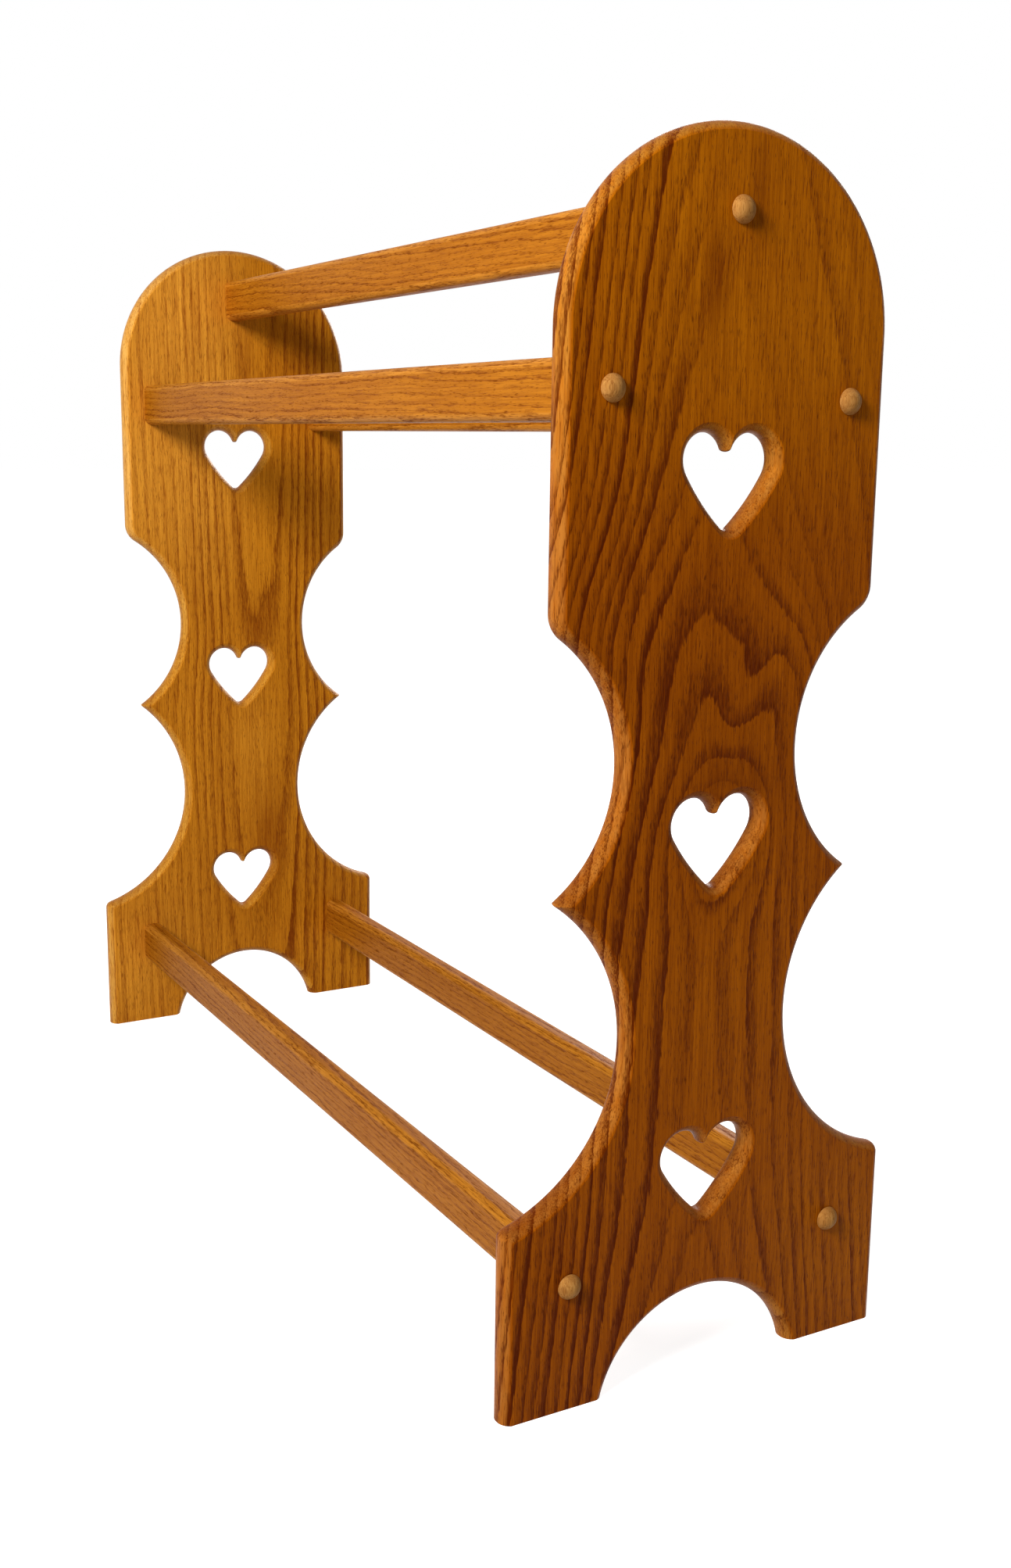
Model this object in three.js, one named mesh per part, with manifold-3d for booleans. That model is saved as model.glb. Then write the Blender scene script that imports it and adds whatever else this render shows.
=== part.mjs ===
// Quilt rack in oak: two scroll-sawn end panels with heart cut-outs, joined by five rails.
// Each rail butts against the panels and is held at both ends by a screw,
// which sits in a counterbore under a turned button plug.
// Millimetres. X runs along the rails, Y from front to rear, Z up.
// The origin is on the floor, under the middle of the rack.

import * as THREE from 'three';
import { mergeVertices } from 'three/addons/utils/BufferGeometryUtils.js';
import Module from 'manifold-3d';

const wasm = await Module();
wasm.setup();

// Rails, in 3/4 inch stock
const railLength = 848;
const railDepth = 19;
const railHeight = 39;
const railEdgeRound = 6;

// End panels, in 3/4 inch stock. The four heights stack up to the panel's full height.
const panelThickness = 19;
const footHeight = 133.5;
const lowerScallopSpan = 211.5;
const upperScallopSpan = 177.5;
const bodyHeight = 290.5;

// The edges are rounded by a 3/8 inch cutter, set a little shallow,
// so its arc meets the flat face at a slight angle, this far in from the edge
const edgeCutterRadius = 9.5;
const panelEdgeInset = 6;

// Widths across a panel, and depths of its scallops, with both long sides as sawn on the even one
const footWidth = 308;
const cuspWidth = 220;
const bodyWidth = 240.5;
const lowerScallopDepth = 67.5;
const upperScallopDepth = 52;
const footCornerRound = 7;
const cuspRound = 1.5;
const shoulderRound = 20;

// The template is sawn by hand: its full side, on the left seen from outside, is wider and lower
const fullSideFootDrop = 2;
const fullSideCuspDrop = 2.5;
const fullSideShoulderDrop = 10.5;
const fullSideCuspOut = 8.5;
const fullSideBodyOut = 3.5;
const fullSideLowerScallopDepth = 69.5;
const fullSideUpperScallopDepth = 47.5;

// Arch between the two feet of a panel
const archWidth = 153.5;
const archHeight = 60;

// Heart cut-outs, each placed by its tip against the feature beside it
const heartWidth = 67.5;
const heartHeight = 59.5;
const heartLobeRadius = 16.5;
const heartFlankRadius = 150;
const heartTipRadius = 6.5;
const heartNotchRound = 2;
const lowerHeartDrop = 18;
const middleHeartDrop = 3;
const upperHeartRise = 49;

// Rail places, from the edges of the panel to the rail's centre
const topRailDrop = 51;
const frontUpperRailDrop = 157.5;
const rearUpperRailDrop = 161.5;
const upperRailInset = 30.5;
const lowerRailHeight = 88;
const lowerRailInset = 47.5;

// Wood screws and the button plugs over them
const counterboreDiameter = 12.7;
const counterboreDepth = 9;
const screwLength = 38;
const screwHeadDiameter = 8.4;
const screwHeadHeight = 2.6;
const screwShankDiameter = 4.2;
const screwCoreDiameter = 3.2;
const screwPointLength = 6;
const screwSlotWidth = 1.1;
const screwSlotDepth = 1.2;
const buttonDiameter = 17;
const buttonDomeHeight = 6;
const buttonRim = 0.6;

// Clearances
const glueLine = 0.1;
const fitGap = 0.3;
const plugFloorGap = 2.5;
const pilotTipGap = 2;

// What is left of a corner's round where the round-over bites deeper than it
const leastCornerRound = 0.2;

// Facets
const topArcSteps = 32;
const scallopSteps = 14;
const archSteps = 10;
const shoulderSteps = 5;
const footCornerSteps = 3;
const cuspSteps = 2;
const lobeSteps = 9;
const flankSteps = 3;
const tipSteps = 3;
const notchSteps = 2;
const roundOverSteps = 3;
const boreSides = 18;
const pilotSides = 12;
const buttonSides = 18;
const domeSteps = 4;

// Heights and half widths that follow from the sizes above
const cuspHeight = footHeight + lowerScallopSpan;
const shoulderHeight = cuspHeight + upperScallopSpan;
const panelHeight = shoulderHeight + bodyHeight;
const innerFaceX = railLength / 2 + glueLine;
const footHalf = footWidth / 2;

const upperRailY = bodyWidth / 2 - upperRailInset;
const lowerRailY = footHalf - lowerRailInset;
const railPlaces = [
  { name: 'top', y: 0, z: panelHeight - topRailDrop },
  { name: 'front_upper', y: -upperRailY, z: panelHeight - frontUpperRailDrop },
  { name: 'rear_upper', y: upperRailY, z: panelHeight - rearUpperRailDrop },
  { name: 'front_lower', y: -lowerRailY, z: lowerRailHeight },
  { name: 'rear_lower', y: lowerRailY, z: lowerRailHeight },
];
const heartTips = [
  footHeight - lowerHeartDrop,
  cuspHeight - middleHeartDrop,
  shoulderHeight + upperHeartRise,
];

const panelOak = new THREE.MeshStandardMaterial({ color: 0xa8642a, roughness: 0.45, metalness: 0 });
const railOak = new THREE.MeshStandardMaterial({ color: 0xc07c38, roughness: 0.45, metalness: 0 });
const buttonOak = new THREE.MeshStandardMaterial({ color: 0xcf9450, roughness: 0.4, metalness: 0 });
const screwSteel = new THREE.MeshStandardMaterial({ color: 0x9a9a94, roughness: 0.35, metalness: 1 });

// A closed geometry as a solid for cutting, and back again
function solidOf(geometry) {
  const bare = geometry.clone();
  bare.deleteAttribute('normal');
  bare.deleteAttribute('uv');
  const merged = mergeVertices(bare, 1e-4);
  const triVerts = new Uint32Array(merged.index.array);
  const vertProperties = new Float32Array(merged.attributes.position.array);
  return new wasm.Manifold(new wasm.Mesh({ numProp: 3, vertProperties, triVerts }));
}

function geometryOf(solid) {
  const mesh = solid.getMesh();
  const geometry = new THREE.BufferGeometry();
  geometry.setAttribute('position', new THREE.BufferAttribute(mesh.vertProperties, 3));
  geometry.setIndex(new THREE.BufferAttribute(mesh.triVerts, 1));
  geometry.computeVertexNormals();
  return geometry;
}

// Points along a round stretch, both ends included
function arcPoints(centre, radius, from, to, steps) {
  const points = [];
  for (let i = 0; i <= steps; i += 1) {
    const angle = from + ((to - from) * i) / steps;
    points.push(new THREE.Vector2(
      centre.x + radius * Math.cos(angle),
      centre.y + radius * Math.sin(angle),
    ));
  }
  return points;
}

function angleFrom(centre, point) {
  return Math.atan2(point.y - centre.y, point.x - centre.x);
}

// Arc of a given depth between two points, with its centre to the right of the way from a to b
function scallopArc(a, b, depth) {
  const chord = b.clone().sub(a);
  const half = chord.length() / 2;
  const radius = (half * half + depth * depth) / (2 * depth);
  const right = new THREE.Vector2(chord.y, -chord.x).normalize();
  const centre = a.clone().add(b).multiplyScalar(0.5).addScaledVector(right, radius - depth);
  return { centre, radius };
}

// Where two circles cross, on the side of the smaller x
function circleCrossing(a, radiusA, b, radiusB) {
  const way = b.clone().sub(a);
  const distance = way.length();
  const along = (distance * distance + radiusA * radiusA - radiusB * radiusB) / (2 * distance);
  const across = Math.sqrt(radiusA * radiusA - along * along);
  way.divideScalar(distance);
  const middle = a.clone().addScaledVector(way, along);
  const side = new THREE.Vector2(-way.y, way.x).multiplyScalar(across);
  const one = middle.clone().add(side);
  const other = middle.clone().sub(side);
  return one.x < other.x ? one : other;
}

// The two scallops of one long side, and the half width of the body above them
function sawnSide(footTop, cuspHalf, cuspTop, bodyHalf, shoulderTop, lowerDepth, upperDepth) {
  const footCorner = new THREE.Vector2(footHalf, footTop);
  const cusp = new THREE.Vector2(cuspHalf, cuspTop);
  const shoulder = new THREE.Vector2(bodyHalf, shoulderTop);
  return {
    bodyHalf,
    lower: scallopArc(footCorner, cusp, lowerDepth),
    upper: scallopArc(cusp, shoulder, upperDepth),
  };
}

const evenSide = sawnSide(
  footHeight,
  cuspWidth / 2,
  cuspHeight,
  bodyWidth / 2,
  shoulderHeight,
  lowerScallopDepth,
  upperScallopDepth,
);
const fullSide = sawnSide(
  footHeight - fullSideFootDrop,
  cuspWidth / 2 + fullSideCuspOut,
  cuspHeight - fullSideCuspDrop,
  bodyWidth / 2 + fullSideBodyOut,
  shoulderHeight - fullSideShoulderDrop,
  fullSideLowerScallopDepth,
  fullSideUpperScallopDepth,
);
const archRadius = (archWidth * archWidth / 4 + archHeight * archHeight) / (2 * archHeight);
const archCentre = new THREE.Vector2(0, archHeight - archRadius);

// Centre of a corner's round that touches an upright line and a scallop above or below it
function cornerCentre(lineX, round, scallop, scallopRadius, upOrDown) {
  const x = lineX - round;
  const reach = scallopRadius + round;
  const away = scallop.centre.x - x;
  return new THREE.Vector2(x, scallop.centre.y + upOrDown * Math.sqrt(reach * reach - away * away));
}

// Half of the panel's outline from the arch's crown out to one side and up to the top,
// drawn in by an inset. The feet stay flat on the floor.
function halfOutline(side, inset) {
  const { lower, upper, bodyHalf } = side;
  const archR = archRadius + inset;
  const archEnd = new THREE.Vector2(Math.sqrt(archR * archR - archCentre.y * archCentre.y), 0);
  const footSide = footHalf - inset;
  const bodySide = bodyHalf - inset;
  const lowerR = lower.radius + inset;
  const upperR = upper.radius + inset;

  const footRound = Math.max(footCornerRound - inset, leastCornerRound);
  const pointRound = Math.max(cuspRound - inset, leastCornerRound);
  const bodyRound = Math.max(shoulderRound - inset, leastCornerRound);
  const foot = cornerCentre(footSide, footRound, lower, lowerR, -1);
  const cusp = circleCrossing(lower.centre, lowerR + pointRound, upper.centre, upperR + pointRound);
  const shoulder = cornerCentre(bodySide, bodyRound, upper, upperR, 1);

  // Angles on a scallop are counted from 0 to a full turn, since its wood lies on the far side
  const fullTurn = Math.PI * 2;
  const along = (scallop, point) => (angleFrom(scallop.centre, point) + fullTurn) % fullTurn;
  const topCentre = new THREE.Vector2(0, panelHeight - bodyHalf);
  return [
    ...arcPoints(archCentre, archR, Math.PI / 2, angleFrom(archCentre, archEnd), archSteps),
    new THREE.Vector2(footSide, 0),
    ...arcPoints(foot, footRound, 0, angleFrom(foot, lower.centre), footCornerSteps),
    ...arcPoints(lower.centre, lowerR, along(lower, foot), along(lower, cusp), scallopSteps).slice(1),
    ...arcPoints(
      cusp,
      pointRound,
      angleFrom(cusp, lower.centre),
      angleFrom(cusp, upper.centre),
      cuspSteps,
    ).slice(1),
    ...arcPoints(upper.centre, upperR, along(upper, cusp), along(upper, shoulder), scallopSteps).slice(1),
    ...arcPoints(shoulder, bodyRound, angleFrom(shoulder, upper.centre), 0, shoulderSteps).slice(1),
    ...arcPoints(topCentre, bodySide, 0, Math.PI / 2, topArcSteps / 2),
  ];
}

// The other half, met at the arch's crown and at the top
function mirroredHalf(half) {
  return half.slice(1, -1).reverse().map((p) => new THREE.Vector2(-p.x, p.y));
}

function panelOutline(inset) {
  return [...halfOutline(evenSide, inset), ...mirroredHalf(halfOutline(fullSide, inset))];
}

// A heart with its tip at the given height, let out by an inset, anticlockwise
function heartOutline(tipHeight, inset) {
  const lobe = new THREE.Vector2(
    heartWidth / 2 - heartLobeRadius,
    tipHeight + heartHeight - heartLobeRadius,
  );
  // The tip's round and the lobe share a slightly bulging flank that touches both
  const tip = new THREE.Vector2(0, tipHeight + heartTipRadius);
  const flank = circleCrossing(
    lobe,
    heartFlankRadius - heartLobeRadius,
    tip,
    heartFlankRadius - heartTipRadius,
  );
  const tipNormal = angleFrom(flank, tip);
  const lobeNormal = angleFrom(flank, lobe);
  const lobeR = heartLobeRadius + inset;
  const notchR = Math.max(heartNotchRound - inset, leastCornerRound);
  const notchReach = lobeR + notchR;
  const notch = new THREE.Vector2(0, lobe.y + Math.sqrt(notchReach * notchReach - lobe.x * lobe.x));
  const half = [
    ...arcPoints(tip, heartTipRadius + inset, -Math.PI / 2, tipNormal, tipSteps),
    ...arcPoints(flank, heartFlankRadius + inset, tipNormal, lobeNormal, flankSteps).slice(1),
    ...arcPoints(lobe, lobeR, lobeNormal, angleFrom(lobe, notch), lobeSteps).slice(1),
    ...arcPoints(notch, notchR, angleFrom(notch, lobe), -Math.PI / 2, notchSteps).slice(1),
  ];
  return [...half, ...mirroredHalf(half)];
}

// Stations through the panel's thickness, with the inset that the cutter leaves at each
function roundedStations() {
  const inset = Math.min(panelEdgeInset, edgeCutterRadius);
  const wanted = Math.sqrt(inset * (2 * edgeCutterRadius - inset));
  const depth = Math.min(wanted, panelThickness * 0.48);
  const sweep = Math.asin(depth / edgeCutterRadius);
  const stations = [];
  for (let i = 0; i <= roundOverSteps; i += 1) {
    const angle = sweep * (1 - i / roundOverSteps);
    stations.push({
      x: depth - edgeCutterRadius * Math.sin(angle),
      inset: edgeCutterRadius * (1 - Math.cos(angle)),
    });
  }
  const far = stations.map((s) => ({ x: panelThickness - s.x, inset: s.inset })).reverse();
  return [...stations, ...far];
}

// A plate along x, lofted through outlines with the same count of points at every station
function loftedPlate(stations, outlineAt, holesAt) {
  const positions = [];
  const index = [];
  const loops = [outlineAt, ...holesAt];
  const counts = loops.map((loop) => loop(stations[0].inset).length);
  const perStation = counts.reduce((sum, count) => sum + count, 0);
  for (const station of stations) {
    for (const loop of loops) {
      for (const point of loop(station.inset)) {
        positions.push(station.x, point.x, point.y);
      }
    }
  }
  for (let s = 0; s < stations.length - 1; s += 1) {
    let first = 0;
    counts.forEach((count, loopNumber) => {
      for (let i = 0; i < count; i += 1) {
        const a = s * perStation + first + i;
        const b = s * perStation + first + ((i + 1) % count);
        const c = b + perStation;
        const d = a + perStation;
        if (loopNumber === 0) {
          index.push(a, b, c, a, c, d);
        } else {
          index.push(a, c, b, a, d, c);
        }
      }
      first += count;
    });
  }
  const faceLoops = loops.map((loop) => loop(stations[0].inset));
  const facePoints = faceLoops.flat();
  const lastStation = (stations.length - 1) * perStation;
  for (const [i, j, k] of THREE.ShapeUtils.triangulateShape(faceLoops[0], faceLoops.slice(1))) {
    const turn = facePoints[j].clone().sub(facePoints[i]).cross(facePoints[k].clone().sub(facePoints[i]));
    const [p, q, r] = turn > 0 ? [i, j, k] : [i, k, j];
    index.push(p, r, q);
    index.push(lastStation + p, lastStation + q, lastStation + r);
  }
  const geometry = new THREE.BufferGeometry();
  geometry.setAttribute('position', new THREE.Float32BufferAttribute(positions, 3));
  geometry.setIndex(index);
  return geometry;
}

// A turned shape about x: the profile holds radius and place along x, starting and ending on the axis
function turned(profile, sides) {
  const points = profile.map(([radius, x]) => new THREE.Vector2(radius, x));
  return new THREE.LatheGeometry(points, sides).rotateZ(-Math.PI / 2);
}

// Counterbore, countersink and shank hole through a panel, from its outer face inwards
function screwHoleCutter() {
  const past = 1;
  const outer = panelThickness;
  const floor = outer - counterboreDepth;
  const boreR = counterboreDiameter / 2;
  const headR = screwHeadDiameter / 2 + fitGap;
  const shankR = screwShankDiameter / 2 + fitGap;
  return turned([
    [0, -past],
    [shankR, -past],
    [shankR, floor - screwHeadHeight - fitGap],
    [headR, floor - fitGap],
    [headR, floor],
    [boreR, floor],
    [boreR, outer + past],
    [0, outer + past],
  ], boreSides);
}

// The local x of a panel runs from 0 at its inner face to its thickness at its outer face.
// Its holes are drilled where the rails meet it once the panel is turned to its end of the rack.
function endPanelGeometry(turn) {
  const hearts = heartTips.map((tipHeight) => (inset) => heartOutline(tipHeight, inset));
  let solid = solidOf(loftedPlate(roundedStations(), panelOutline, hearts));
  const cutter = screwHoleCutter();
  for (const place of railPlaces) {
    const y = turn === 0 ? place.y : -place.y;
    solid = solid.subtract(solidOf(cutter.clone().translate(0, y, place.z)));
  }
  return geometryOf(solid);
}

// Depth of a screw's reach into the end of its rail
const screwReach = screwLength - (panelThickness - counterboreDepth) - glueLine;

function railGeometry() {
  const round = Math.min(railEdgeRound, railDepth * 0.45, railHeight * 0.45);
  const flatY = railDepth / 2 - round;
  const flatZ = railHeight / 2 - round;
  const section = [];
  const corners = [[flatY, flatZ], [-flatY, flatZ], [-flatY, -flatZ], [flatY, -flatZ]];
  corners.forEach(([y, z], quarter) => {
    const from = (quarter * Math.PI) / 2;
    const corner = new THREE.Vector2(y, z);
    section.push(...arcPoints(corner, round, from, from + Math.PI / 2, roundOverSteps + 1));
  });
  const stations = [{ x: -railLength / 2, inset: 0 }, { x: railLength / 2, inset: 0 }];
  let solid = solidOf(loftedPlate(stations, () => section, []));
  const pilotR = screwCoreDiameter / 2 + fitGap;
  const pilot = turned([
    [0, railLength / 2 - screwReach - pilotTipGap],
    [pilotR, railLength / 2 - screwReach],
    [pilotR, railLength / 2 + 1],
    [0, railLength / 2 + 1],
  ], pilotSides);
  solid = solid.subtract(solidOf(pilot));
  solid = solid.subtract(solidOf(pilot.clone().rotateZ(Math.PI)));
  return geometryOf(solid);
}

// Slotted flat-head wood screw. Local x is 0 at the top of its head, and its point is at minus x.
function screwGeometry() {
  const shankEnd = -(panelThickness - counterboreDepth) + fitGap;
  const body = turned([
    [0, -screwLength],
    [screwCoreDiameter / 2, -screwLength + screwPointLength],
    [screwCoreDiameter / 2, shankEnd],
    [screwShankDiameter / 2, shankEnd],
    [screwShankDiameter / 2, -screwHeadHeight],
    [screwHeadDiameter / 2, 0],
    [0, 0],
  ], pilotSides);
  const slot = new THREE.BoxGeometry(screwSlotDepth * 2, screwHeadDiameter * 2, screwSlotWidth);
  return geometryOf(solidOf(body).subtract(solidOf(slot)));
}

// Button plug. Local x is 0 at the panel's outer face, and the dome stands out along x.
function buttonGeometry() {
  const headR = buttonDiameter / 2;
  const tenonR = counterboreDiameter / 2 - fitGap;
  const domeR = (headR * headR + buttonDomeHeight * buttonDomeHeight) / (2 * buttonDomeHeight);
  const rimTop = fitGap + buttonRim;
  const domeCentre = rimTop + buttonDomeHeight - domeR;
  const domeHalfAngle = Math.asin(Math.min(1, headR / domeR));
  const profile = [
    [0, -counterboreDepth + plugFloorGap],
    [tenonR, -counterboreDepth + plugFloorGap],
    [tenonR, fitGap],
    [headR, fitGap],
  ];
  for (let i = 0; i < domeSteps; i += 1) {
    const angle = domeHalfAngle * (1 - i / domeSteps);
    profile.push([domeR * Math.sin(angle), domeCentre + domeR * Math.cos(angle)]);
  }
  profile.push([0, rimTop + buttonDomeHeight]);
  return turned(profile, buttonSides);
}

function namedMesh(name, geometry, material, x, y, z) {
  const mesh = new THREE.Mesh(geometry, material);
  mesh.name = name;
  mesh.position.set(x, y, z);
  return mesh;
}

const railShape = railGeometry();
const screwShape = screwGeometry();
const buttonShape = buttonGeometry();

// One end of the rack, with its outer face along plus x before the group is turned
function rackEnd(side, turn) {
  const end = new THREE.Group();
  end.add(namedMesh(`end_panel_${side}`, endPanelGeometry(turn), panelOak, innerFaceX, 0, 0));
  const headTopX = innerFaceX + panelThickness - counterboreDepth - fitGap / 2;
  const outerFaceX = innerFaceX + panelThickness;
  for (const place of railPlaces) {
    const y = turn === 0 ? place.y : -place.y;
    end.add(namedMesh(`screw_${side}_${place.name}`, screwShape, screwSteel, headTopX, y, place.z));
    end.add(namedMesh(`button_${side}_${place.name}`, buttonShape, buttonOak, outerFaceX, y, place.z));
  }
  end.rotation.z = turn;
  return end;
}

const rails = new THREE.Group();
for (const place of railPlaces) {
  rails.add(namedMesh(`rail_${place.name}`, railShape, railOak, 0, place.y, place.z));
}

const quiltRack = new THREE.Group();
quiltRack.add(rackEnd('right', 0), rackEnd('left', Math.PI), rails);

export default quiltRack;
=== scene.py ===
"""Looks of the oak quilt rack: finely rounded boards, turned plugs, stained oak under satin varnish.

Lengths are written in millimetres, as in the part's own source, and turned into metres when a
mesh is made. X runs along the rails, Y from front to rear, Z up.
"""

import math

import bpy
from mathutils import Matrix, Vector
from mathutils.geometry import tessellate_polygon


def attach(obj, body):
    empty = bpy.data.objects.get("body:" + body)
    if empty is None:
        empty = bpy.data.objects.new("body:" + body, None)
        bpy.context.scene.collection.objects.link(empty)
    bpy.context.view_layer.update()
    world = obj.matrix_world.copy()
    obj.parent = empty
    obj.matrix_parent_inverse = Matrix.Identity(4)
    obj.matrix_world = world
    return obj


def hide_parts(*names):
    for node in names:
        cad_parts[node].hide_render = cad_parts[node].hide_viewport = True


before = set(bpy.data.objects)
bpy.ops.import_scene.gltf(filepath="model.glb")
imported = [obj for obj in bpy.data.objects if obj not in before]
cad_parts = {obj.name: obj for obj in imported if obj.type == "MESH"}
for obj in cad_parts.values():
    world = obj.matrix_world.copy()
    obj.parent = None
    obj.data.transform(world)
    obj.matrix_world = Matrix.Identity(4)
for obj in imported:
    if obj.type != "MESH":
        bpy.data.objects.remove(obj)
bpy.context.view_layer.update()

MM = 0.001

# Rails
RAIL_LENGTH = 848
RAIL_DEPTH = 19
RAIL_HEIGHT = 39
RAIL_EDGE_ROUND = 6

# End panels
PANEL_THICKNESS = 19
EDGE_CUTTER_RADIUS = 9.5
PANEL_EDGE_INSET = 6
FOOT_HEIGHT = 133.5
LOWER_SCALLOP_SPAN = 211.5
UPPER_SCALLOP_SPAN = 177.5
BODY_HEIGHT = 290.5
FOOT_WIDTH = 308
CUSP_WIDTH = 220
BODY_WIDTH = 240.5
LOWER_SCALLOP_DEPTH = 67.5
UPPER_SCALLOP_DEPTH = 52
FOOT_CORNER_ROUND = 7
CUSP_ROUND = 1.5
SHOULDER_ROUND = 20

# The full side of the template, on the left seen from outside, is wider and lower
FULL_FOOT_DROP = 2
FULL_CUSP_DROP = 2.5
FULL_SHOULDER_DROP = 10.5
FULL_CUSP_OUT = 8.5
FULL_BODY_OUT = 3.5
FULL_LOWER_SCALLOP_DEPTH = 69.5
FULL_UPPER_SCALLOP_DEPTH = 47.5

# Arch between the feet, and hearts
ARCH_WIDTH = 153.5
ARCH_HEIGHT = 60
HEART_WIDTH = 67.5
HEART_HEIGHT = 59.5
HEART_LOBE_RADIUS = 16.5
HEART_FLANK_RADIUS = 150
HEART_TIP_RADIUS = 6.5
HEART_NOTCH_ROUND = 2
LOWER_HEART_DROP = 18
MIDDLE_HEART_DROP = 3
UPPER_HEART_RISE = 49

# Rail places
TOP_RAIL_DROP = 51
FRONT_UPPER_RAIL_DROP = 157.5
REAR_UPPER_RAIL_DROP = 161.5
UPPER_RAIL_INSET = 30.5
LOWER_RAIL_HEIGHT = 88
LOWER_RAIL_INSET = 47.5

# Screw holes and button plugs
COUNTERBORE_DIAMETER = 12.7
COUNTERBORE_DEPTH = 9
HEAD_HOLE_DIAMETER = 9
HEAD_HOLE_DEPTH = 2.9
SHANK_HOLE_DIAMETER = 4.8
PILOT_DIAMETER = 3.8
PILOT_DEPTH = 28
PILOT_TIP = 2
BUTTON_DIAMETER = 17
BUTTON_DOME_HEIGHT = 6
BUTTON_RIM = 0.6
BUTTON_GAP = 0.3
BUTTON_BEVEL = 0.3
TENON_LENGTH = 6.5
TENON_CHAMFER = 0.8
GLUE_LINE = 0.1
LEAST_CORNER_ROUND = 0.2
THREAD_PITCH = 2.2
THREAD_FADE_START = 3
THREAD_FADE_END = 1

# Fineness of the curves
TOP_ARC_STEPS = 60
SCALLOP_STEPS = 48
ARCH_STEPS = 36
SHOULDER_STEPS = 14
FOOT_CORNER_STEPS = 8
CUSP_STEPS = 5
LOBE_STEPS = 30
FLANK_STEPS = 12
TIP_STEPS = 8
NOTCH_STEPS = 6
ROUND_OVER_STEPS = 8
BORE_SIDES = 40
BUTTON_SIDES = 56
DOME_STEPS = 14
CREASE_DEGREES = 33

# Camera, lights and floor. The lights' places and sizes, and the floor's, are in metres
CAMERA_PLACE = (1302.8, -641.6, 624.3)
CAMERA_DEGREES = (78.552, -0.715, 60.805)
CAMERA_LENS = 38.92
SENSOR_WIDTH = 36
LIGHT_TARGET = (0, 0, 0.45)
KEY_LIGHT_PLACE = (0.95, -1.6, 1.55)
KEY_LIGHT_SIZE = 0.7
KEY_LIGHT_POWER = 55
BACK_LIGHT_PLACE = (-1.3, 1.5, 1.3)
BACK_LIGHT_SIZE = 1.0
BACK_LIGHT_POWER = 30
WORLD_LIGHT = 0.16
FLOOR_HALF = 30
FLOOR_GREY = (0.6, 0.6, 0.6, 1)
FLOOR_GLOW = (0.8, 1.0)
FLOOR_GLOW_REACH = (0.5, 1.2)
WHITE = (1, 1, 1, 1)

# Grain of the oak: size of each kind of mark across, through and along a board
WAVER_SIZE = (22, 30, 150)
RAGGED_SIZE = (2.0, 2.0, 17)
MOTTLE_SIZE = (2.2, 2.2, 26)
VESSEL_SIZE = (0.6, 0.6, 7)
DASH_SIZE = (1.25, 1.25, 15)
FIBRE_SIZE = (1.7, 2.2, 130)
STREAK_SIZE = (1.05, 1.4, 42)
CLOUD_SIZE = (48, 48, 150)
# Streaks of the pale rounded edges, which are partly wear and partly painted light
WORN_AND_LIT_EDGE_SIZE = (5, 5, 30)

# Grain of the oak: how far lines stray, how deep marks are and how the varnish shines
RAGGED_AMOUNT = 3.4
RING_UNEVENNESS = 0.6
UNEVEN_OVER_RINGS = 1.9
CLOUD_DEPTH = 0.45
STREAK_DEPTH = 0.32
STREAK_DEPTH_IN_BAND = 0.15
BAND_DEPTH_ON_EDGE = 0.55
DASH_DEPTH = 0.55
VESSEL_DEPTH = 0.65
END_GRAIN_DEPTH = 0.45
GRAIN_RELIEF = 0.35
GRAIN_RELIEF_METRES = 0.0004
VARNISH_ROUGHNESS = 0.38
VARNISH_TINT = (1.0, 0.5, 0.05, 1)

# Screws
STEEL_BRIGHT = (0.68, 0.67, 0.65, 1)
STEEL_DULL = (0.50, 0.50, 0.50, 1)
STEEL_IN_THREAD = (0.25, 0.25, 0.26, 1)
STEEL_RELIEF = 0.6
STEEL_RELIEF_METRES = 0.0005
STEEL_ROUGHNESS = 0.24

CUSP_HEIGHT = FOOT_HEIGHT + LOWER_SCALLOP_SPAN
SHOULDER_HEIGHT = CUSP_HEIGHT + UPPER_SCALLOP_SPAN
PANEL_HEIGHT = SHOULDER_HEIGHT + BODY_HEIGHT
INNER_FACE_X = RAIL_LENGTH / 2 + GLUE_LINE
OUTER_FACE_X = INNER_FACE_X + PANEL_THICKNESS
FOOT_HALF = FOOT_WIDTH / 2
UPPER_RAIL_Y = BODY_WIDTH / 2 - UPPER_RAIL_INSET
LOWER_RAIL_Y = FOOT_HALF - LOWER_RAIL_INSET
RAIL_PLACES = {
    "top": (0, PANEL_HEIGHT - TOP_RAIL_DROP),
    "front_upper": (-UPPER_RAIL_Y, PANEL_HEIGHT - FRONT_UPPER_RAIL_DROP),
    "rear_upper": (UPPER_RAIL_Y, PANEL_HEIGHT - REAR_UPPER_RAIL_DROP),
    "front_lower": (-LOWER_RAIL_Y, LOWER_RAIL_HEIGHT),
    "rear_lower": (LOWER_RAIL_Y, LOWER_RAIL_HEIGHT),
}
HEART_TIPS = (
    FOOT_HEIGHT - LOWER_HEART_DROP,
    CUSP_HEIGHT - MIDDLE_HEART_DROP,
    SHOULDER_HEIGHT + UPPER_HEART_RISE,
)


# Outlines, in the plane of a panel


def arc_points(centre, radius, start, end, steps):
    points = []
    for i in range(steps + 1):
        angle = start + (end - start) * i / steps
        points.append(centre + radius * Vector((math.cos(angle), math.sin(angle))))
    return points


def angle_from(centre, point):
    return math.atan2(point.y - centre.y, point.x - centre.x)


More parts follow.
